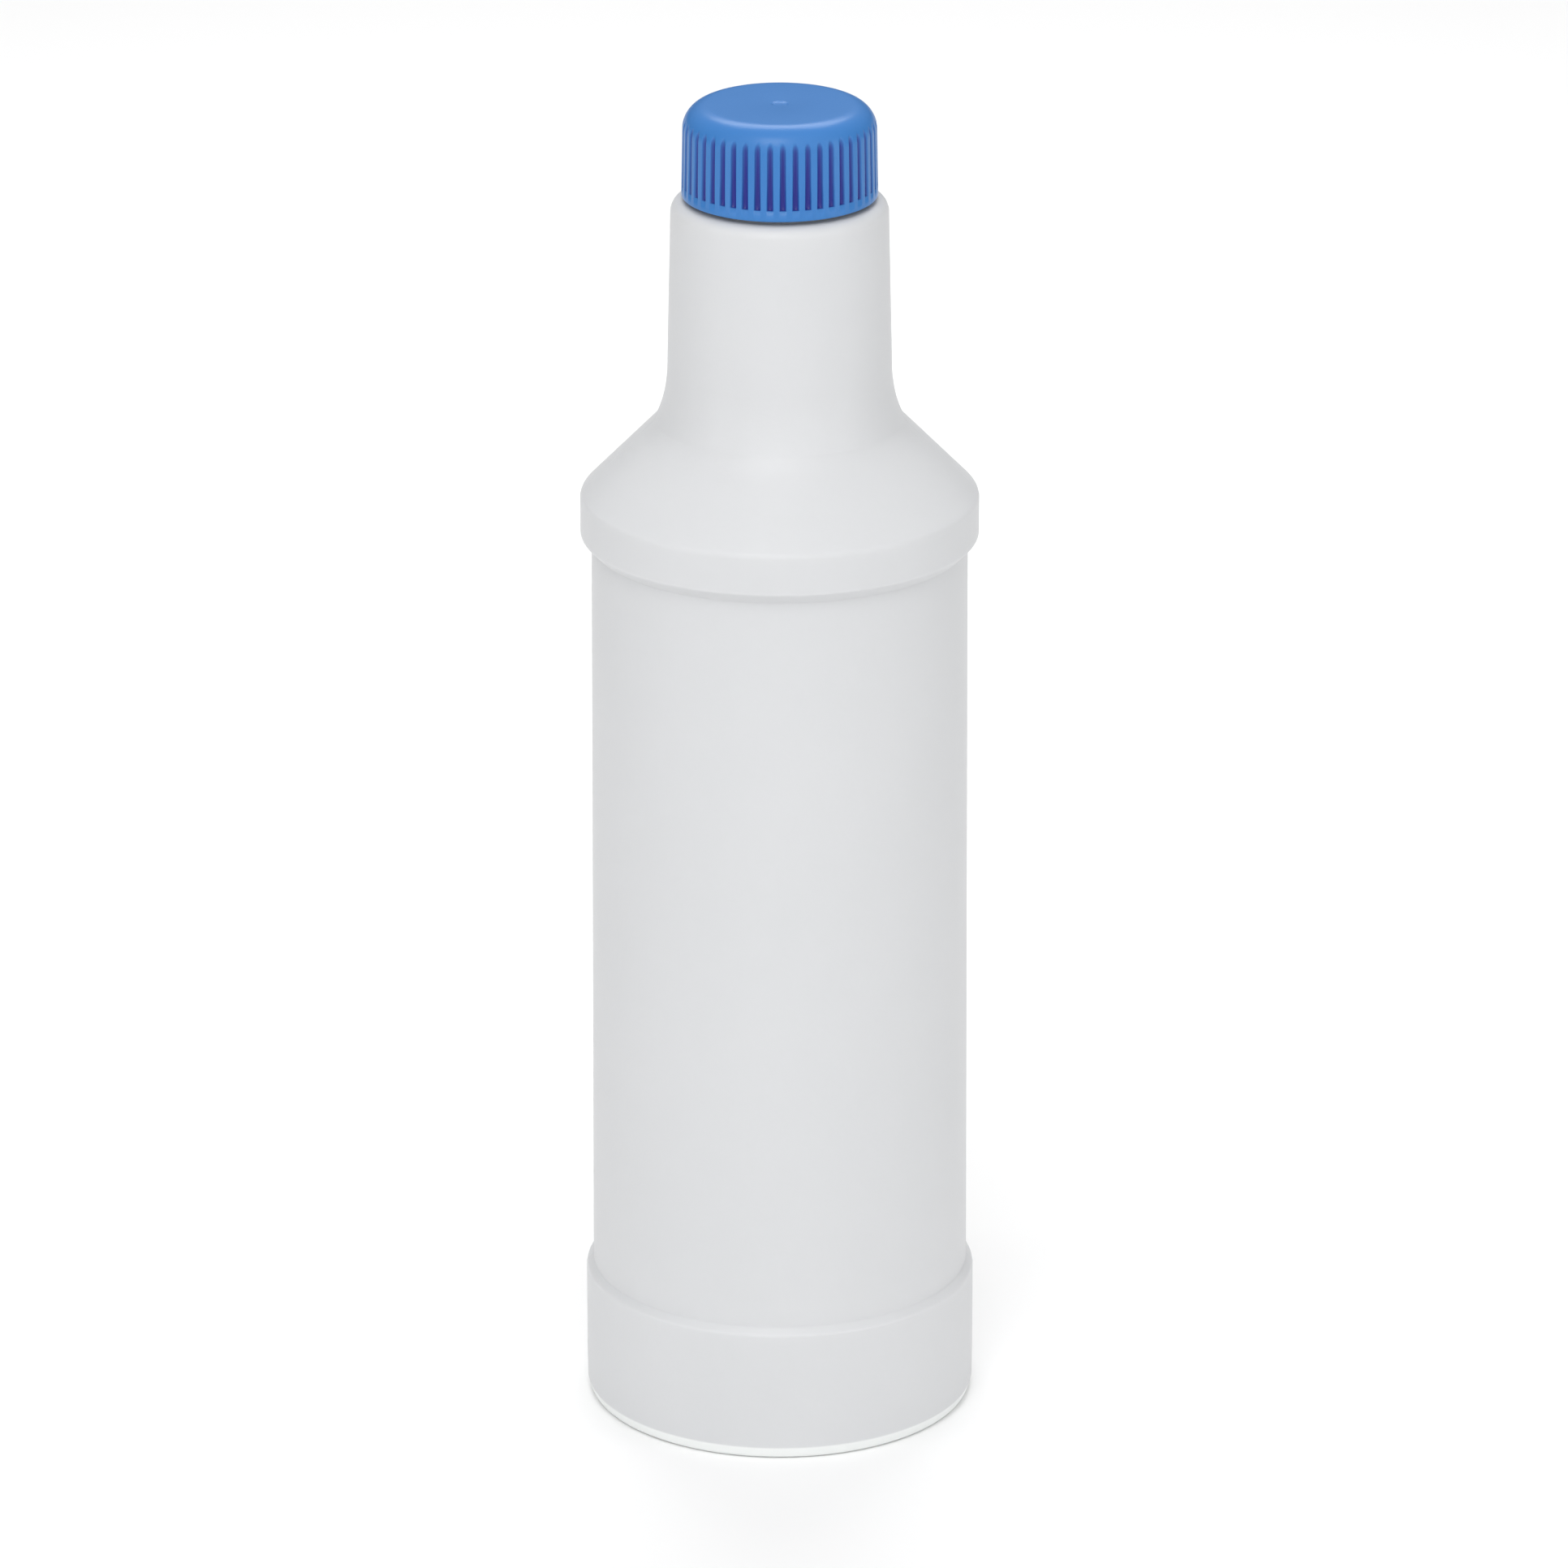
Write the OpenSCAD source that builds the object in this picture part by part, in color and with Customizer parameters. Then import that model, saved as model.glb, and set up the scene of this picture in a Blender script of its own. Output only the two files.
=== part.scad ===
// Blown one-litre bottle with a recessed label panel and a ribbed screw cap.
// The bottle, the cap and the sealing wad between them are one piece each.
// The bottle stands on z = 0 with its axis on z, and its front faces -Y.

/* [Body] */
// Diameter over the base ring
base_ring_d = 83.6; // [76:0.1:92]
// Diameter over the shoulder ring
shoulder_ring_d = 84; // [76:0.1:92]
// Height of the base ring, from the table to the top edge of its side
base_ring_h = 28.9; // [15:0.1:45]
// Height of the label panel, with the bevels above and below it
panel_h = 167.1; // [120:0.1:200]
// Height of the shoulder ring's side, up to where the shoulder's slope meets it
shoulder_ring_h = 8.5; // [6:0.1:20]
// How far the panel's foot lies inside the base ring
panel_foot_inset = 1.5; // [0.8:0.1:2.5]
// How far the panel's head lies inside the shoulder ring
panel_head_inset = 2.4; // [0.8:0.1:3]
// Rounding of the base ring's top edge
base_ring_round = 1; // [0.3:0.1:1.5]
// Rounding of the shoulder ring's top edge
shoulder_ring_round = 2; // [0.5:0.1:3]
// Wall thickness of the blown body
wall = 1.2; // [0.8:0.1:2]

/* [Foot] */
// Height of the sloping heel
heel_h = 2.8; // [2.2:0.1:6]
// How far the heel draws in towards the table
heel_inset = 0.9; // [0.3:0.1:2]
// Rounding of the foot's outer corner
foot_round = 1.6; // [1:0.1:2]
// Width of the foot from its outer corner to the push-up
foot_w = 6.5; // [4:0.1:10]
// Height of the push-up in the base
push_up_h = 4; // [2:0.1:8]
// Length of the pinch-off scar across the base
scar_length = 46; // [20:1:60]
// Width of the pinch-off scar
scar_w = 0.9; // [0.5:0.1:1.5]
// How far the scar stands below the push-up
scar_h = 0.5; // [0.2:0.1:0.8]

/* [Shoulder and neck] */
// Slope of the shoulder above the level
shoulder_slope = 45.8; // [38:0.1:52]
// Radius of the sweep from the neck out towards the shoulder
sweep_r = 29; // [15:0.5:40]
// How far the sweep turns before it breaks into the shoulder's slope
sweep_turn = 25.5; // [15:0.5:32]
// Diameter of the neck at its head
neck_d = 45.3; // [42:0.1:50]
// How much wider the neck's radius is at its foot
neck_flare = 0.8; // [0:0.1:2]
// Height of the neck above the sweep
neck_h = 35.8; // [20:0.1:60]
// Rounding of the neck's top corner
neck_round = 2.4; // [1.5:0.1:3]

/* [Threaded mouth] */
// Height of the threaded mouth above the neck
mouth_h = 16.5; // [16:0.1:19]
// Diameter of the mouth's outside between the turns of the thread
mouth_d = 34.8; // [33:0.1:36]
// Wall thickness of the mouth
mouth_wall = 1.8; // [1.4:0.1:2.4]
// Rounding of the lip's two edges
lip_round = 0.5; // [0.2:0.1:0.7]
// Rounding where the mouth meets the neck, inside and outside
mouth_blend = 0.8; // [0.4:0.1:1]

/* [Screw thread] */
// Rise of the thread in one turn
thread_pitch = 4.23; // [4:0.01:4.6]
// Number of turns of thread on the bottle and in the cap
thread_turns = 1.75; // [1.25:0.25:2]
// Height of the thread above its wall
thread_h = 1.1; // [0.8:0.05:1.3]
// Width of the thread at its root
thread_root_w = 2.4; // [1.8:0.1:2.5]
// Width of the thread at its crest
thread_crest_w = 0.9; // [0.5:0.1:1.1]
// Distance from the lip down to the middle of the thread's top end
thread_below_lip = 3; // [2.5:0.1:3.5]
// Clearance between a thread's crest and the other piece's wall
thread_fit = 0.35; // [0.3:0.05:0.5]
// How far the cap's thread hangs under the bottle's, beyond half their widths
flank_fit = 0.35; // [0.2:0.05:0.45]

/* [Cap] */
// Gap between the neck and the cap's lower edge
cap_gap = 1; // [0.5:0.1:2]
// Thickness of the cap's top
cap_top_t = 2.2; // [2:0.1:3]
// Wall thickness of the cap at its plain band
cap_wall = 1.65; // [1.5:0.05:2.5]
// Height of the plain band under the ribs
band_h = 2.3; // [1:0.1:4]
// Draft of the cap's side
cap_draft = 1.1; // [0:0.1:1.5]
// Rounding of the cap's top edge
cap_round = 5.3; // [1.5:0.1:5.4]
// Rounding of the cap's lower edge
cap_foot_round = 0.25; // [0.1:0.05:0.5]
// Rounding inside the cap, between its wall and its top
cap_inside_round = 0.8; // [0.3:0.1:1]
// Chamfer inside the cap's lower edge
cap_lead_in = 0.5; // [0.2:0.1:0.8]
// Diameter of the gate mark on the cap's top
gate_d = 3.7; // [2:0.1:6]
// Depth of the gate mark
gate_depth = 0.25; // [0.1:0.05:0.5]

/* [Grip grooves] */
// Number of grooves round the cap
groove_count = 48; // [36:1:54]
// Width of a groove at its mouth
groove_w = 1.5; // [1:0.05:1.7]
// Width of a groove between the feet of its sides
groove_floor_w = 0.95; // [0.5:0.05:0.95]
// Depth of a groove at the feet of its sides
groove_side_depth = 0.6; // [0.4:0.05:0.7]
// Depth of a groove in the middle of its floor
groove_depth = 0.8; // [0.7:0.05:0.9]
// Turn of the first groove from +X
groove_turn = 1.9; // [0:0.1:7.5]

/* [Sealing wad] */
// Thickness of the sealing wad
wad_t = 1.8; // [0.8:0.1:2]
// Clearance round the wad inside the cap
wad_fit = 0.85; // [0.8:0.05:1.2]

/* [Hidden] */

// Smoothness of the round surfaces, the rounded corners and the threads
$fn = 144;
ARC_STEPS = 7;
THREAD_STEPS = 36;

// Slope of the bevels between the rings and the panel, as high as they are deep
BEVEL_SLOPE = 45;
// How deep a thread is rooted in its wall, and how many steps its ends take to rise from it
THREAD_ROOTING = 0.3;
THREAD_RUN_OUT = 4;
// The sharpest a corner gets on the inside of the wall
LEAST_ROUND = 0.3;
// How far a cutting tool reaches past the face that it cuts
OVERCUT = 1;

base_ring_r = base_ring_d / 2;
shoulder_ring_r = shoulder_ring_d / 2;
panel_foot_r = base_ring_r - panel_foot_inset;
panel_head_r = shoulder_ring_r - panel_head_inset;
foot_r = base_ring_r - heel_inset;
push_up_r = foot_r - foot_w;
dome_r = (push_up_r * push_up_r + push_up_h * push_up_h) / (2 * push_up_h);
dome_centre = [0, push_up_h - dome_r];

shoulder_ring_z = base_ring_h + panel_h;
shoulder_z = shoulder_ring_z + shoulder_ring_h;
neck_head_r = neck_d / 2;
neck_foot_r = neck_head_r + neck_flare;
// Where the sweep breaks into the shoulder's slope, and the sweep's centre
break_r = neck_foot_r + sweep_r * (1 - cos(sweep_turn));
break_z = shoulder_z + (shoulder_ring_r - break_r) * tan(shoulder_slope);
sweep_centre = [neck_foot_r + sweep_r, break_z + sweep_r * sin(sweep_turn)];
neck_z = sweep_centre.y + neck_h;

mouth_r = mouth_d / 2;
mouth_bore_r = mouth_r - mouth_wall;
lip_z = neck_z + mouth_h;

thread_rise = thread_turns * thread_pitch;
bottle_thread_z = lip_z - thread_below_lip - thread_rise;
cap_thread_z = bottle_thread_z - (thread_root_w + thread_crest_w) / 2 - flank_fit;

cap_z = neck_z + cap_gap;
cap_inside_z = lip_z + wad_t;
cap_top_z = cap_inside_z + cap_top_t;
cap_bore_r = mouth_r + thread_h + thread_fit;
band_r = cap_bore_r + cap_wall;
rib_foot_z = cap_z + band_h;
rib_head_z = cap_top_z - cap_round;
rib_head_r = band_r - (rib_head_z - cap_z) * tan(cap_draft);
groove_mouth_r = band_r - band_h * tan(cap_draft);

wad_r = cap_bore_r - wad_fit;

// Points of an arc about a centre, from one angle to another
function arc(centre, r, from, to) = [
    for (i = [0 : ARC_STEPS])
        let (angle = from + (to - from) * i / ARC_STEPS)
            centre + r * [cos(angle), sin(angle)]
];

function reversed(list) = [for (i = [len(list) - 1 : -1 : 0]) list[i]];

// How far a bevelled corner, and the shoulder's, slides along its side when the outline moves in by t
function bevel_slide(t) = t * tan(BEVEL_SLOPE / 2);
function shoulder_slide(t) = t * (1 - sin(shoulder_slope)) / cos(shoulder_slope);

// Half the angle of the push-up dome where it meets the foot, t inside the skin
function dome_half_angle(t) = acos((dome_r + t - push_up_h) / (dome_r + t));

// Angle at which the sweep breaks into the shoulder's slope, t inside the skin
function break_angle(t) =
    let (
        slope_normal = [sin(shoulder_slope), cos(shoulder_slope)],
        corner = [shoulder_ring_r, shoulder_z],
        depth = (sweep_centre - corner) * slope_normal
    )
    270 - shoulder_slope - acos((depth + t) / (sweep_r + t));

// Rounded edge between a ring's upright side and the slope above it, from the side inwards
function ring_edge(r, z, slope, round) =
    let (turn = 90 - slope)
    arc([r - round, z - round * tan(turn / 2)], round, 0, turn);

// Outline of the blown body from the middle of the base up to the neck's top corner, t inside the skin
function body_outline(t) =
    let (
        foot_corner = max(foot_round - t, LEAST_ROUND),
        base_edge = max(base_ring_round - t, LEAST_ROUND),
        shoulder_edge = max(shoulder_ring_round - t, LEAST_ROUND),
        neck_corner = max(neck_round - t, LEAST_ROUND),
        bevel = bevel_slide(t)
    )
    concat(
        arc(dome_centre, dome_r + t, 90, 90 - dome_half_angle(t)),
        arc([foot_r - t - foot_corner, t + foot_corner], foot_corner, -90, 0),
        [[base_ring_r - t, heel_h]],
        ring_edge(base_ring_r - t, base_ring_h - bevel, BEVEL_SLOPE, base_edge),
        [
            [panel_foot_r - t, base_ring_h + panel_foot_inset - bevel],
            [panel_head_r - t, shoulder_ring_z - panel_head_inset + bevel],
            [shoulder_ring_r - t, shoulder_ring_z + bevel]
        ],
        ring_edge(shoulder_ring_r - t, shoulder_z - shoulder_slide(t), shoulder_slope, shoulder_edge),
        arc(sweep_centre, sweep_r + t, break_angle(t), 180),
        arc([neck_head_r - t - neck_corner, neck_z - t - neck_corner], neck_corner, 0, 90)
    );

// Outline of the mouth, from the neck up over the lip and down into the neck again
function mouth_outline() = concat(
    arc([mouth_r + mouth_blend, neck_z + mouth_blend], mouth_blend, 270, 180),
    arc([mouth_r - lip_round, lip_z - lip_round], lip_round, 0, 90),
    arc([mouth_bore_r + lip_round, lip_z - lip_round], lip_round, 90, 180),
    arc([mouth_bore_r + mouth_blend, neck_z - wall + mouth_blend], mouth_blend, 180, 270)
);

// Outline of the cap's section, from the gate mark over the side and up inside to the axis
function cap_outline() = concat(
    [
        [0, cap_top_z - gate_depth],
        [gate_d / 2 - gate_depth, cap_top_z - gate_depth],
        [gate_d / 2, cap_top_z]
    ],
    arc([rib_head_r - cap_round, rib_head_z], cap_round, 90, 0),
    arc([band_r - cap_foot_round, cap_z + cap_foot_round], cap_foot_round, 0, -90),
    [
        [cap_bore_r + cap_lead_in, cap_z],
        [cap_bore_r, cap_z + cap_lead_in]
    ],
    arc([cap_bore_r - cap_inside_round, cap_inside_z - cap_inside_round], cap_inside_round, 0, 90),
    [[0, cap_inside_z]]
);

// How far the thread's crest stands from its wall at a step, rising out of the wall at both ends
function crest_height(step, steps) =
    let (share = min(1, step / THREAD_RUN_OUT, (steps - step) / THREAD_RUN_OUT))
        share * (thread_h + THREAD_ROOTING / 2) - THREAD_ROOTING / 2;

// Corners of the thread's section at a step: distance from the wall, and height from its middle
function thread_section(step, steps) = [
    [-THREAD_ROOTING, -thread_root_w / 2],
    [crest_height(step, steps), -thread_crest_w / 2],
    [crest_height(step, steps), thread_crest_w / 2],
    [-THREAD_ROOTING, thread_root_w / 2]
];

// Right-hand helical ridge on a round wall. side is 1 where it stands outwards and -1 inwards
module thread(wall_r, side, start_z) {
    steps = round(thread_turns * THREAD_STEPS);
    corners = 4;
    points = [
        for (step = [0 : steps], corner = thread_section(step, steps))
            let (
                angle = step * 360 / THREAD_STEPS,
                r = wall_r + side * corner[0],
                z = start_z + step * thread_pitch / THREAD_STEPS + corner[1]
            )
            [r * cos(angle), r * sin(angle), z]
    ];
    skin = [
        for (step = [0 : steps - 1], i = [0 : corners - 1])
            let (
                a = step * corners + i,
                b = step * corners + (i + 1) % corners
            )
            each [[a, b, b + corners], [a, b + corners, a + corners]]
    ];
    first_end = [for (i = [corners - 1 : -1 : 0]) i];
    last_end = [for (i = [0 : corners - 1]) steps * corners + i];
    faces = concat(skin, [first_end, last_end]);
    polyhedron(points, side > 0 ? faces : [for (face = faces) reversed(face)], convexity = 6);
}

// Raised line where the mould's halves pinched the tube shut, across the push-up
module pinch_off_scar() {
    half_angle = asin(scar_length / 2 / dome_r);
    intersection() {
        rotate_extrude()
            polygon(concat(
                arc(dome_centre, dome_r + wall / 2, 90, 90 - half_angle),
                arc(dome_centre, dome_r - scar_h, 90 - half_angle, 90)
            ));
        translate([-scar_length, -scar_w / 2, -OVERCUT])
            cube([2 * scar_length, scar_w, push_up_h + wall + 2 * OVERCUT]);
    }
}

module bottle() {
    color([0.9, 0.9, 0.89]) {
        rotate_extrude()
            polygon(concat(body_outline(0), mouth_outline(), reversed(body_outline(wall))));
        thread(mouth_r, 1, bottle_thread_z);
        pinch_off_scar();
    }
}

// Foam disc that the cap presses on the lip
module sealing_wad() {
    color([0.93, 0.93, 0.9])
        translate([0, 0, lip_z])
            cylinder(r = wad_r, h = wad_t);
}

// One upright groove with a keeled floor, square at its foot, that runs out in a point on the crown
module groove() {
    side_slope = (groove_w - groove_floor_w) / 2 / groove_side_depth;
    half_w = groove_w / 2 + side_slope * OVERCUT;
    translate([0, 0, rib_foot_z])
        linear_extrude(cap_top_z - rib_foot_z + OVERCUT)
            polygon([
                [groove_mouth_r + OVERCUT, -half_w],
                [groove_mouth_r + OVERCUT, half_w],
                [groove_mouth_r - groove_side_depth, groove_floor_w / 2],
                [groove_mouth_r - groove_depth, 0],
                [groove_mouth_r - groove_side_depth, -groove_floor_w / 2]
            ]);
}

module cap() {
    color([0.24, 0.42, 0.74]) {
        difference() {
            rotate_extrude()
                polygon(cap_outline());
            for (i = [0 : groove_count - 1])
                rotate([0, 0, groove_turn + i * 360 / groove_count])
                    groove();
        }
        thread(cap_bore_r, -1, cap_thread_z);
    }
}

bottle();
sealing_wad();
cap();
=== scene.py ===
# A one-litre blown bottle in natural polyethylene with a blue ribbed screw cap, on a white table.
# The bottle stands on z = 0 with its axis on z and its front towards -Y. Sections and outlines are
# written in millimetres, as they are in a drawing, and become metres where a mesh is made.
import math

import bpy
import numpy as np
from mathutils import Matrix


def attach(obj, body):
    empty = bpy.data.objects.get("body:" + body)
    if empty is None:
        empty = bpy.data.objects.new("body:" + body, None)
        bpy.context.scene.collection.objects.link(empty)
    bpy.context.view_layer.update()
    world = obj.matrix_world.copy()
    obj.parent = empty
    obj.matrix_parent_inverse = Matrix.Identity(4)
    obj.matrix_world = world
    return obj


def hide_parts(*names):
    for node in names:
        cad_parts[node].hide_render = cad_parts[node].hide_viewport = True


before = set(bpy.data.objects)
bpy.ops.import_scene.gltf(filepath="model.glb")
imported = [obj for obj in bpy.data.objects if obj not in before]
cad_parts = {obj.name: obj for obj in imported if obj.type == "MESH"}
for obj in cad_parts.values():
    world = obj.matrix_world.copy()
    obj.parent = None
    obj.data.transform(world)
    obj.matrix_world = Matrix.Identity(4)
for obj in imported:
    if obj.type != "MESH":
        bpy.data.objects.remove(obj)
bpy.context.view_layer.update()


# The blown bottle
# One piece of natural high-density polyethylene, milky and a little see-through. A hot tube is pinched
# shut across the foot and blown out against a two-part mould, so the wall is the same all over and fine
# parting lines run up both sides. The mouth is formed round a pin, with its thread.

MM = 0.001


def softened(corners, steps=6):
    """Points of an outline given by its corners (radius, height, rounding), with each corner rounded."""
    points = []
    for i, (x, z, rounding) in enumerate(corners):
        here = np.array([x, z])
        if rounding == 0 or i in (0, len(corners) - 1):
            points.append(here)
            continue
        into = here - np.array(corners[i - 1][:2])
        out = np.array(corners[i + 1][:2]) - here
        reach_in, reach_out = np.linalg.norm(into), np.linalg.norm(out)
        into, out = into / reach_in, out / reach_out
        bend = math.acos(max(-1.0, min(1.0, float(into @ out))))
        if bend < 0.01:
            points.append(here)
            continue
        cut = min(rounding * math.tan(bend / 2), 0.48 * reach_in, 0.48 * reach_out)
        radius = cut / math.tan(bend / 2)
        side = 1 if into[0] * out[1] - into[1] * out[0] > 0 else -1
        start = here - into * cut
        centre = start + side * radius * np.array([-into[1], into[0]])
        for k in range(steps + 1):
            a = side * bend * k / steps
            spoke = start - centre
            points.append(centre + np.array([spoke[0] * math.cos(a) - spoke[1] * math.sin(a),
                                             spoke[0] * math.sin(a) + spoke[1] * math.cos(a)]))
    return points


def bow(centre, radius, start, end, steps):
    """Points of an arc in an outline, with no rounding."""
    return [(centre[0] + radius * math.cos(math.radians(start + (end - start) * k / steps)),
             centre[1] + radius * math.sin(math.radians(start + (end - start) * k / steps)), 0)
            for k in range(steps + 1)]


def moulding(name, rings, helices=()):
    """A closed skin through rings of points, all with the same count, joined end to end, with any
    threads added. The first and the last ring may be single points on the axis."""
    verts, faces = [], []
    starts = []
    for ring in rings:
        starts.append((len(verts), len(ring)))
        verts.extend((x * MM, y * MM, z * MM) for x, y, z in ring)
    for (a, na), (b, nb) in zip(starts, starts[1:]):
        n = max(na, nb)
        for i in range(n):
            j = (i + 1) % n
            if na == 1:
                faces.append((a, b + j, b + i))
            elif nb == 1:
                faces.append((a + i, a + j, b))
            else:
                faces.append((a + i, a + j, b + j, b + i))
    for helix_verts, helix_faces in helices:
        base = len(verts)
        verts.extend((x * MM, y * MM, z * MM) for x, y, z in helix_verts)
        faces.extend(tuple(base + k for k in face) for face in helix_faces)
    mesh = bpy.data.meshes.new(name)
    mesh.from_pydata(verts, [], faces)
    mesh.validate()
    mesh.polygons.foreach_set("use_smooth", [True] * len(mesh.polygons))
    piece = bpy.data.objects.new(name, mesh)
    bpy.context.scene.collection.objects.link(piece)
    return piece


thread_pitch, thread_turns, thread_below_lip = 4.23, 1.75, 3
thread_height, thread_root, thread_crest = 1.1, 2.4, 0.9


def thread(wall_r, side, start_z, steps=72, rooting=0.3, run_out=8):
    """A right-hand thread on a round wall, in so many steps a turn. It stands out from the wall where
    side is 1 and in from it where side is -1, is rooted in it, and rises from it over the run-out."""
    count = round(thread_turns * steps)
    verts, faces = [], []
    for step in range(count + 1):
        share = min(1, step / run_out, (count - step) / run_out)
        top = share * (thread_height + rooting / 2) - rooting / 2
        a = 2 * math.pi * step / steps
        for out, up in ((-rooting, -thread_root / 2), (top, -thread_crest / 2),
                        (top, thread_crest / 2), (-rooting, thread_root / 2)):
            r = wall_r + side * out
            verts.append((r * math.cos(a), r * math.sin(a), start_z + thread_pitch * step / steps + up))
    for step in range(count):
        for k in range(4):
            a, b = step * 4 + k, step * 4 + (k + 1) % 4
            faces.append((a, b, b + 4, a + 4))
    faces += [(3, 2, 1, 0), tuple(count * 4 + k for k in range(4))]
    return verts, faces if side > 0 else [face[::-1] for face in faces]


foot_r, dome_r, dome_top, foot_edge = 40.9, 149.92, 4.0, 0.8
base_ring_r, heel_top, base_ring_top = 41.8, 2.8, 28.9
panel_foot_r, panel_foot, panel_head_r, panel_head = 40.3, 30.4, 39.6, 193.6
shoulder_ring_r, shoulder_ring_foot, shoulder_ring_top = 42.0, 196.0, 204.5
shoulder_slope, sweep_r, sweep = 45.8, 29, (52.45, 233.155)
neck_head_r, neck_top = 22.65, 268.955
mouth_r, bore_r, lip = 17.4, 15.6, 285.455
wall = 1.2


def blown_outline(inset):
    """The body's outline from the middle of the foot to the top of the neck, at a depth in the wall."""
    bevel = inset * math.tan(math.radians(22.5))
    slope = math.radians(shoulder_slope)
    slide = inset * (1 - math.sin(slope)) / math.cos(slope)
    to_slope = ((sweep[0] - shoulder_ring_r) * math.sin(slope)
                + (sweep[1] - shoulder_ring_top) * math.cos(slope))
    kink = 270 - shoulder_slope - math.degrees(math.acos((to_slope + inset) / (sweep_r + inset)))
    dome = math.degrees(math.acos((dome_r + inset - dome_top) / (dome_r + inset)))
    foot = bow((0, dome_top - dome_r), dome_r + inset, 90, 90 - dome, 24)
    foot[-1] = (foot[-1][0], foot[-1][1], foot_edge + inset)
    return foot + [
        (foot_r - inset, inset, max(1.6 - inset, 0.4)),
        (base_ring_r - inset, heel_top, 1.0),
        (base_ring_r - inset, base_ring_top - bevel, max(1.0 - inset, 0.4)),
        (panel_foot_r - inset, panel_foot - bevel, 0.6 + inset),
        (panel_head_r - inset, panel_head + bevel, 0.7 + inset),
        (shoulder_ring_r - inset, shoulder_ring_foot + bevel, max(0.9 - inset / 2, 0.4)),
        (shoulder_ring_r - inset, shoulder_ring_top - slide, max(2.0 - inset, 0.4)),
    ] + bow(sweep, sweep_r + inset, kink, 180, 28) + [
        (neck_head_r - inset, neck_top - inset, max(2.4 - inset, 0.4)),
    ]


outside = blown_outline(0) + [
    (mouth_r, neck_top, 0.8),
    (mouth_r, lip, 0.5),
    (bore_r, lip, 0.5),
    (bore_r, neck_top - wall, 0.8),
]
section = softened(outside + blown_outline(wall)[::-1])

# The long straight sides are cut into short steps, so that the skin has no long thin faces.
longest_step = 6.0
even = [section[0]]
for here, after in zip(section, section[1:]):
    pieces_between = max(1, math.ceil(np.linalg.norm(after - here) / longest_step))
    for k in range(1, pieces_between + 1):
        even.append(here + (after - here) * k / pieces_between)

# The parting lines, as fine ridges at both sides of the outside, from the heel up to the neck's top.
seam_half, seam_height, seam_r = 0.22, 0.07, 41
spoke_count = 192
spokes = [2 * math.pi * k / spoke_count for k in range(spoke_count)]
for side in (0.0, math.pi):
    spokes += [side + k * seam_half / seam_r for k in (-2.0, -1.0, -0.5, 0.5, 1.0, 2.0)]
spokes = np.unique(np.round(np.array(spokes) % (2 * math.pi), 6))

rings = []
for along, (r, z) in enumerate(even):
    if r < 1e-6:
        rings.append([(0, 0, z)])
        continue
    ring = []
    for a in spokes:
        off_seam = abs(math.sin(a)) * r
        on_outside = along <= len(even) * 0.55 and 3 < z < neck_top - 1 and r > 20
        ridge = seam_height * max(0.0, 1 - off_seam / seam_half) if on_outside else 0.0
        reach_out = min(r + ridge, shoulder_ring_r)
        ring.append((reach_out * math.cos(a), reach_out * math.sin(a), z))
    rings.append(ring)
thread_foot = lip - thread_below_lip - thread_turns * thread_pitch
bottle = moulding("blown_bottle", rings, [thread(mouth_r, 1, thread_foot)])

milky = bpy.data.materials.new("natural polyethylene")
milky.use_nodes = True
nodes, links = milky.node_tree.nodes, milky.node_tree.links
shader = nodes["Principled BSDF"]
shader.inputs["Roughness"].default_value = 0.4
shader.inputs["Specular IOR Level"].default_value = 0.35
shader.inputs["Subsurface Weight"].default_value = 0.35
shader.inputs["Subsurface Radius"].default_value = (1.0, 0.97, 0.94)
shader.inputs["Subsurface Scale"].default_value = 0.0025
place = nodes.new("ShaderNodeTexCoord")
clouding = nodes.new("ShaderNodeTexNoise")
clouding.inputs["Scale"].default_value = 22.0
clouding.inputs["Detail"].default_value = 3.0
links.new(place.outputs["Object"], clouding.inputs["Vector"])
milk = nodes.new("ShaderNodeValToRGB")
milk.color_ramp.elements[0].position = 0.3
milk.color_ramp.elements[0].color = (0.598, 0.606, 0.617, 1)
milk.color_ramp.elements[1].position = 0.75
milk.color_ramp.elements[1].color = (0.612, 0.618, 0.629, 1)
links.new(clouding.outputs["Fac"], milk.inputs["Fac"])

# The foot and its heel are painted whiter than the wall: a painted highlight that stands in for the light
# the heel catches from the table.
height = nodes.new("ShaderNodeSeparateXYZ")
links.new(place.outputs["Object"], height.inputs["Vector"])
heel = nodes.new("ShaderNodeMapRange")
heel.inputs["From Min"].default_value = 3.0 * MM
heel.inputs["From Max"].default_value = 2.6 * MM
links.new(height.outputs["Z"], heel.inputs["Value"])
# Painted highlight: below 3 mm the bottle's colour is mixed towards white.
painted_heel_highlight = nodes.new("ShaderNodeMix")
painted_heel_highlight.data_type = "RGBA"
painted_heel_highlight.inputs["B"].default_value = (0.82, 0.84, 0.83, 1)
links.new(heel.outputs["Result"], painted_heel_highlight.inputs["Factor"])
links.new(milk.outputs["Color"], painted_heel_highlight.inputs["A"])
links.new(painted_heel_highlight.outputs["Result"], shader.inputs["Base Color"])
mould_grain = nodes.new("ShaderNodeTexNoise")
mould_grain.inputs["Scale"].default_value = 900.0
mould_grain.inputs["Detail"].default_value = 2.0
links.new(place.outputs["Object"], mould_grain.inputs["Vector"])
grain_relief = nodes.new("ShaderNodeBump")
grain_relief.inputs["Strength"].default_value = 0.12
grain_relief.inputs["Distance"].default_value = 0.0002
links.new(mould_grain.outputs["Fac"], grain_relief.inputs["Height"])
links.new(grain_relief.outputs["Normal"], shader.inputs["Normal"])
bottle.data.materials.append(milky)
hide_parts("bottle")
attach(bottle, "bottle")


# The sealing wad
# A disc cut from soft white foam sheet. It lies loose in the top of the cap, which presses it down on
# the lip of the bottle when the cap is screwed home.

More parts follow.
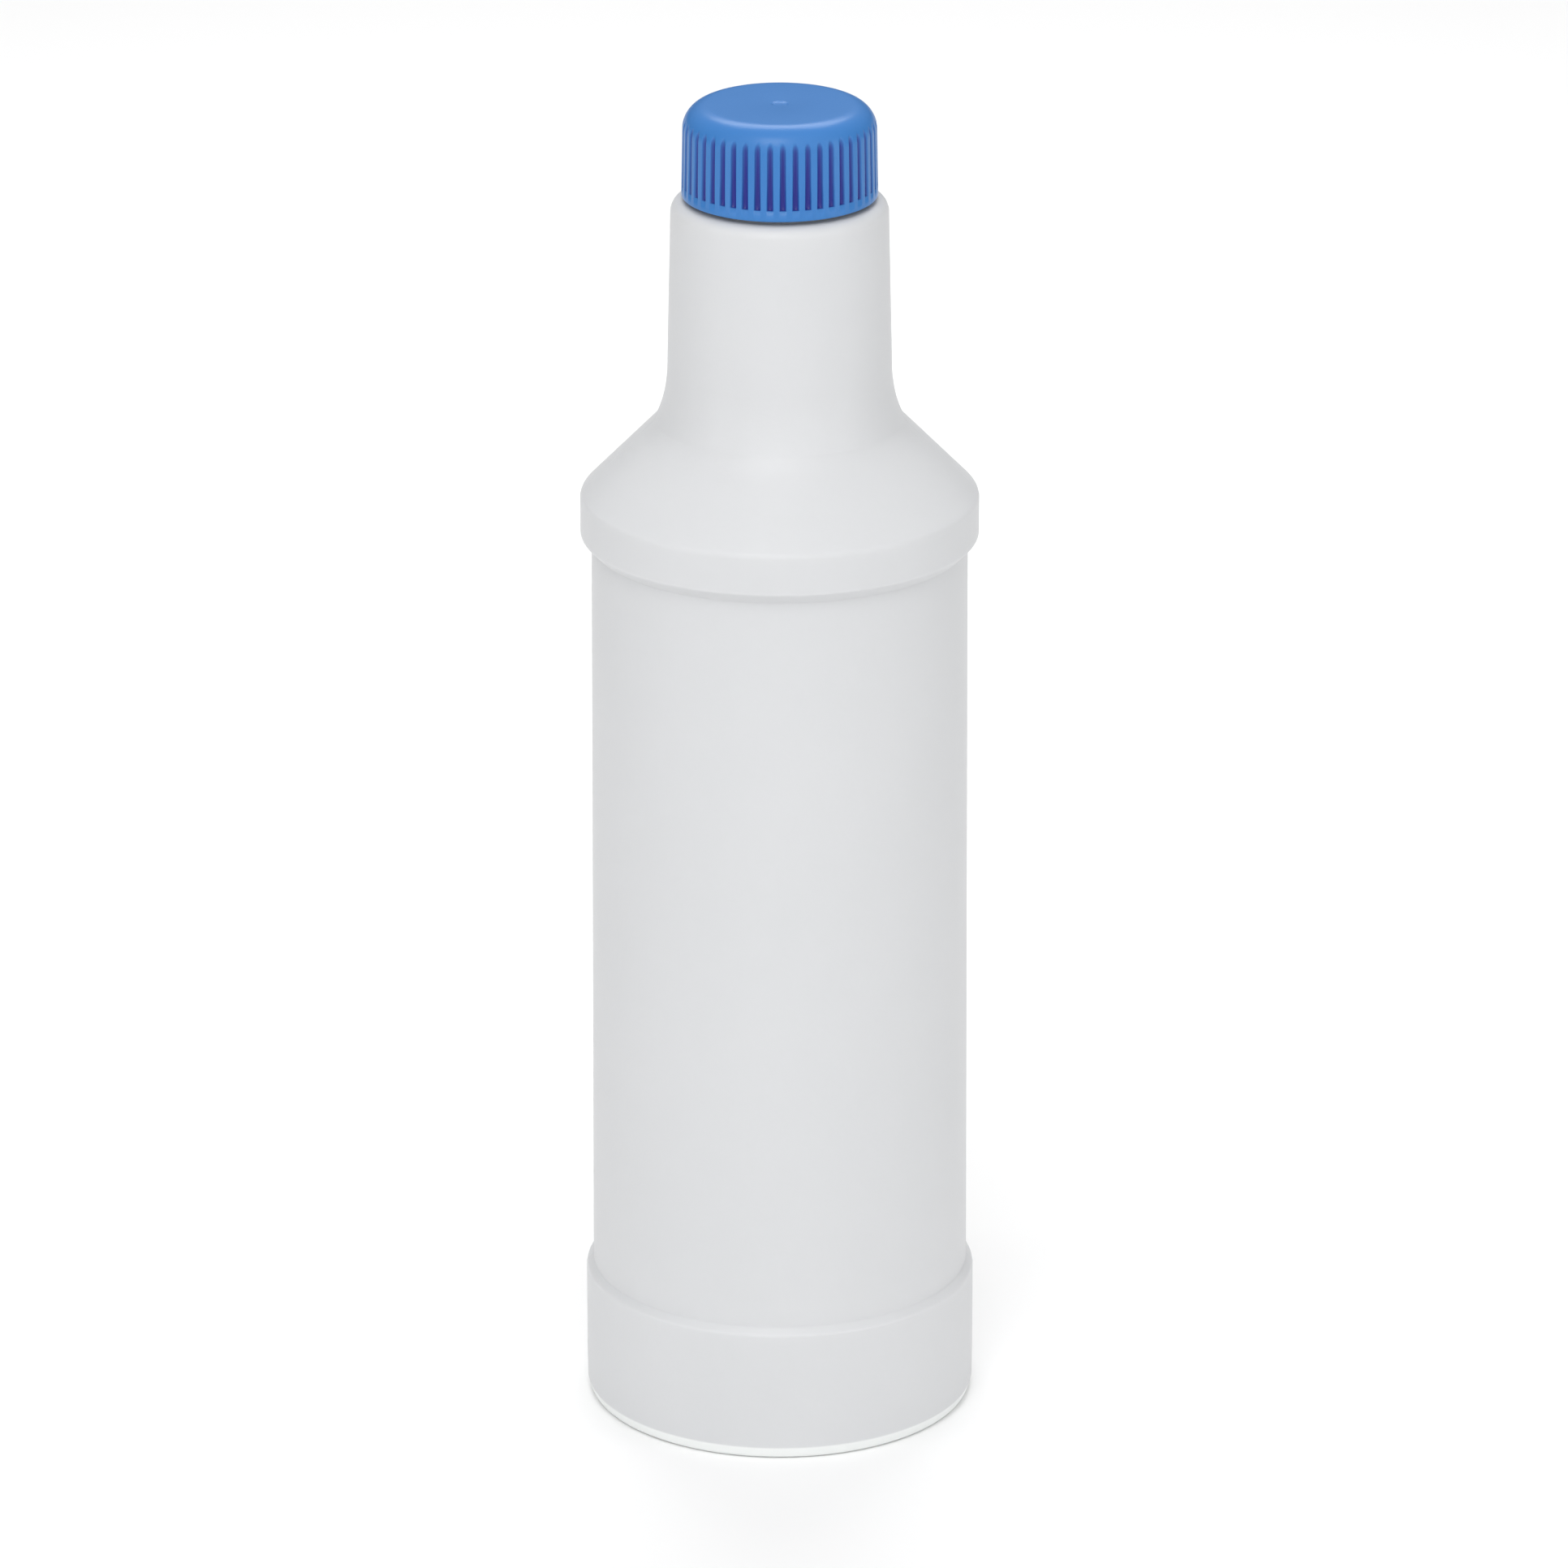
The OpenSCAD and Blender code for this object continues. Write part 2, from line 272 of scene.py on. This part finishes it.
wad_r, wad_t = 18.0, 1.8
wad_section = softened([(0, lip, 0), (wad_r, lip, 0.2), (wad_r, lip + wad_t, 0.2), (0, lip + wad_t, 0)], 4)
wad_turns = [2 * math.pi * k / 96 for k in range(96)]
wad = moulding("foam_wad", [
    [(0, 0, z)] if r < 1e-6 else [(r * math.cos(a), r * math.sin(a), z) for a in wad_turns]
    for r, z in wad_section])

foam = bpy.data.materials.new("white foam")
foam.use_nodes = True
nodes, links = foam.node_tree.nodes, foam.node_tree.links
shader = nodes["Principled BSDF"]
shader.inputs["Roughness"].default_value = 0.85
place = nodes.new("ShaderNodeTexCoord")
cells = nodes.new("ShaderNodeTexVoronoi")
cells.inputs["Scale"].default_value = 2200.0
links.new(place.outputs["Object"], cells.inputs["Vector"])
cell_colour = nodes.new("ShaderNodeValToRGB")
cell_colour.color_ramp.elements[0].color = (0.86, 0.86, 0.83, 1)
cell_colour.color_ramp.elements[1].color = (0.95, 0.95, 0.92, 1)
links.new(cells.outputs["Distance"], cell_colour.inputs["Fac"])
links.new(cell_colour.outputs["Color"], shader.inputs["Base Color"])
cell_relief = nodes.new("ShaderNodeBump")
cell_relief.inputs["Strength"].default_value = 0.4
cell_relief.inputs["Distance"].default_value = 0.0001
links.new(cells.outputs["Distance"], cell_relief.inputs["Height"])
links.new(cell_relief.outputs["Normal"], shader.inputs["Normal"])
wad.data.materials.append(foam)
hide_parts("sealing_wad")
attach(wad, "wad")


# The screw cap
# One piece of blue polypropylene, injection moulded through the middle of its top, where the gate left
# a shallow dimple. Forty-eight upright grooves for the grip stop on a plain band at the foot and run
# out through the rounded top edge. Inside is a thread that meets the bottle's.

cap_foot, cap_top, cap_inside = 269.955, 289.455, 287.255
gate_r, gate_depth, flank_fit = 1.35, 0.25, 0.35
cap_bore_r, cap_r, crown, band_h = 18.85, 20.5, 5.3, 2.3
groove_count, groove_half, groove_floor_half = 48, 0.75, 0.475
groove_side_depth, groove_keel_depth, first_groove = 0.6, 0.8, math.radians(1.9)
cap_draft = math.tan(math.radians(1.1))
crown_z = cap_top - crown
crown_r = cap_r - (crown_z - cap_foot) * cap_draft
groove_foot = cap_foot + band_h
groove_mouth_r = cap_r - band_h * cap_draft

# One pitch of the grip, as points (along the surface, how deep): a rib's half, a groove with steep
# sides and a keeled floor, and the next rib's half, with all the edges rounded.
half_pitch = math.pi * cap_r / groove_count
grip = softened([(-half_pitch, 0, 0), (-groove_half, 0, 0.18), (-groove_floor_half, groove_side_depth, 0.2),
                 (0, groove_keel_depth, 0.4),
                 (groove_floor_half, groove_side_depth, 0.2), (groove_half, 0, 0.18), (half_pitch, 0, 0)], 3)
grip = [(u / cap_r, d) for u, d in grip[:-1]]
cap_spokes = [(first_groove + 2 * math.pi * k / groove_count + u, d)
              for k in range(groove_count) for u, d in grip]

cap_outside = (
    [(0, cap_top - gate_depth, 0), (gate_r, cap_top - gate_depth, 0.5), (gate_r + 0.5, cap_top, 0.5)]
    + bow((crown_r - crown, crown_z), crown, 90, 0, 22))
upper = softened(cap_outside)
lower = softened([(groove_mouth_r, groove_foot, 0), (cap_r, cap_foot, 0.25),
                  (cap_bore_r + 0.5, cap_foot, 0.1), (cap_bore_r, cap_foot + 0.5, 0.1),
                  (cap_bore_r, cap_inside, 0.8), (0, cap_inside, 0)])
side_rows = [(crown_r + (crown_z - z) * cap_draft, z)
             for z in np.linspace(crown_z, groove_foot + 0.12, 9)[1:]]


def ribbed(r, z, share=1):
    """A ring at a height on the cap's side, cut back to a share of the grooves' depth."""
    if r < 1e-6:
        return [(0, 0, z)]
    ring = []
    for a, depth in cap_spokes:
        cut = min(r, groove_mouth_r - share * depth) if depth > 1e-6 else r
        ring.append((cut * math.cos(a), cut * math.sin(a), z))
    return ring


def round_ring(r, z):
    """A plain ring with as many points as a ribbed one."""
    return [(0, 0, z)] if r < 1e-6 else [(r * math.cos(a), r * math.sin(a), z) for a, depth in cap_spokes]


cap_rings = [ribbed(r, z) for r, z in upper] + [ribbed(r, z) for r, z in side_rows]

# At their foot the grooves' floors turn out onto the band in a small round.
cap_rings.append(ribbed(groove_mouth_r, groove_foot + 0.03, 0.75))
cap_rings += [round_ring(r, z) for r, z in lower]

# The cap's thread hangs under the bottle's, with a small clearance between their flanks.
cap_thread_foot = thread_foot - (thread_root + thread_crest) / 2 - flank_fit
cap = moulding("ribbed_cap", [ring[::-1] for ring in cap_rings], [thread(cap_bore_r, -1, cap_thread_foot)])

# How deep each point lies in a groove, from 0 on the ribs to 1 on the grooves' floors, used as the mask of
# the painted shade in the grooves. The inside of the cap and its top stay at 0.
least_outside_r = 19.4
groove_depth = cap.data.attributes.new("groove_depth", "FLOAT", "POINT")
for vertex, depth in zip(cap.data.vertices, groove_depth.data):
    x, y, z = (c / MM for c in vertex.co)
    r = math.hypot(x, y)
    if z <= crown_z:
        plain_r = crown_r + (crown_z - z) * cap_draft
    else:
        plain_r = crown_r - crown + math.sqrt(max(0.0, crown ** 2 - (z - crown_z) ** 2))
    on_grip = r > least_outside_r and z > groove_foot - 0.2
    depth.value = max(0.0, min(1.0, (plain_r - r) / groove_side_depth)) if on_grip else 0.0

blue = bpy.data.materials.new("blue polypropylene")
blue.use_nodes = True
nodes, links = blue.node_tree.nodes, blue.node_tree.links
shader = nodes["Principled BSDF"]
shader.inputs["Roughness"].default_value = 0.3
shader.inputs["IOR"].default_value = 1.49
shader.inputs["Specular IOR Level"].default_value = 0.3
place = nodes.new("ShaderNodeTexCoord")
tone = nodes.new("ShaderNodeTexNoise")
tone.inputs["Scale"].default_value = 60.0
tone.inputs["Detail"].default_value = 4.0
links.new(place.outputs["Object"], tone.inputs["Vector"])
pigment = nodes.new("ShaderNodeValToRGB")
pigment.color_ramp.elements[0].position = 0.3
pigment.color_ramp.elements[0].color = (0.037, 0.170, 0.455, 1)
pigment.color_ramp.elements[1].position = 0.7
pigment.color_ramp.elements[1].color = (0.042, 0.180, 0.475, 1)
links.new(tone.outputs["Fac"], pigment.inputs["Fac"])

# Painted shade: the grooves are painted darker and more violet towards their floors, standing in for the
# shade that falls in them.
in_groove = nodes.new("ShaderNodeAttribute")
in_groove.attribute_name = "groove_depth"
# Painted shade: mixes the pigment towards dark indigo by the depth in the groove.
painted_groove_shade = nodes.new("ShaderNodeMix")
painted_groove_shade.data_type = "RGBA"
painted_groove_shade.inputs["B"].default_value = (0.018, 0.022, 0.215, 1)
links.new(in_groove.outputs["Fac"], painted_groove_shade.inputs["Factor"])
links.new(pigment.outputs["Color"], painted_groove_shade.inputs["A"])
links.new(painted_groove_shade.outputs["Result"], shader.inputs["Base Color"])
spark = nodes.new("ShaderNodeTexNoise")
spark.inputs["Scale"].default_value = 2600.0
spark.inputs["Detail"].default_value = 2.0
links.new(place.outputs["Object"], spark.inputs["Vector"])
spark_relief = nodes.new("ShaderNodeBump")
spark_relief.inputs["Strength"].default_value = 0.25
spark_relief.inputs["Distance"].default_value = 0.00006
links.new(spark.outputs["Fac"], spark_relief.inputs["Height"])
links.new(spark_relief.outputs["Normal"], shader.inputs["Normal"])
cap.data.materials.append(blue)
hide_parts("cap")
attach(cap, "cap")


# The table, the lights and the camera
# A plain white table that runs out of view, in a studio that is bright overhead and in front and dim
# behind. A softbox hangs high in front, another behind over the table, and a strip lamp stands on each
# side. The camera has a long lens and looks from a little above.

table_mesh = bpy.data.meshes.new("table")
half = 6
table_mesh.from_pydata([(-half, -half, 0), (half, -half, 0), (half, half, 0), (-half, half, 0)],
                       [], [(0, 1, 2, 3)])
table = bpy.data.objects.new("table", table_mesh)
bpy.context.scene.collection.objects.link(table)
white = bpy.data.materials.new("white table")
white.use_nodes = True
shader = white.node_tree.nodes["Principled BSDF"]
shader.inputs["Base Color"].default_value = (0.9, 0.9, 0.9, 1)
shader.inputs["Roughness"].default_value = 0.9
shader.inputs["Specular IOR Level"].default_value = 0.2
table_mesh.materials.append(white)

room = bpy.data.worlds.new("room")
room.use_nodes = True
bpy.context.scene.world = room
nodes, links = room.node_tree.nodes, room.node_tree.links
glow = nodes["Background"]
glow.inputs["Color"].default_value = (1, 1, 1, 1)
way = nodes.new("ShaderNodeTexCoord")
split = nodes.new("ShaderNodeSeparateXYZ")
links.new(way.outputs["Generated"], split.inputs["Vector"])
dim_walls = 0.04
strength = None
for axis, share in (("Z", 0.80), ("Y", -1.15)):
    toward = nodes.new("ShaderNodeMath")
    toward.operation = "MULTIPLY"
    toward.inputs[1].default_value = share
    links.new(split.outputs[axis], toward.inputs[0])
    lit = nodes.new("ShaderNodeMath")
    lit.operation = "MAXIMUM"
    lit.inputs[1].default_value = 0.0
    links.new(toward.outputs["Value"], lit.inputs[0])
    total = nodes.new("ShaderNodeMath")
    total.operation = "ADD"
    total.inputs[1].default_value = dim_walls
    links.new(lit.outputs["Value"], total.inputs[0])
    if strength:
        links.new(strength.outputs["Value"], total.inputs[1])
    strength = total
links.new(strength.outputs["Value"], glow.inputs["Strength"])


def softbox(name, place_m, aim_m, width, height, watts):
    """A soft rectangular lamp at a place, turned to what it lights."""
    light = bpy.data.lights.new(name, "AREA")
    light.shape, light.size, light.size_y, light.energy = "RECTANGLE", width, height, watts
    lamp = bpy.data.objects.new(name, light)
    bpy.context.scene.collection.objects.link(lamp)
    back = np.array(place_m) - np.array(aim_m)
    lamp.location = place_m
    tilt = math.acos(back[2] / np.linalg.norm(back))
    lamp.rotation_euler = (tilt, 0, math.atan2(back[1], back[0]) + math.pi / 2)
    return lamp


mid_bottle = (0, 0, 0.15)


def around(azimuth, height, reach):
    """A place at an azimuth from the front towards +X, a height angle and a distance from mid-bottle."""
    a, e = math.radians(azimuth), math.radians(height)
    level = reach * math.cos(e)
    return (level * math.sin(a), -level * math.cos(a), mid_bottle[2] + reach * math.sin(e))


softbox("key softbox", around(-10, 50, 1.3), mid_bottle, 0.5, 0.6, 3.5)
softbox("left strip", around(-62, 8, 1.1), mid_bottle, 0.16, 0.9, 1.0)
softbox("right strip", around(68, 8, 1.1), mid_bottle, 0.16, 0.9, 1.2)
softbox("table softbox", around(180, 55, 1.3), mid_bottle, 0.9, 0.6, 7.0)

camera = bpy.data.objects.new("camera", bpy.data.cameras.new("camera"))
bpy.context.scene.collection.objects.link(camera)
pitch, reach, aim_height = math.radians(20.5), 1.96, 0.1389
sensor_mm, focal_px, frame_px, off_axis = 36, 11340, 1932, 0.0009
camera.data.sensor_width = sensor_mm
camera.data.lens = focal_px / frame_px * sensor_mm
camera.location = (off_axis, -reach * math.cos(pitch), aim_height + reach * math.sin(pitch))
camera.rotation_euler = (math.pi / 2 - pitch, 0, 0)
bpy.context.scene.camera = camera
bpy.context.scene.view_settings.view_transform = "Standard"
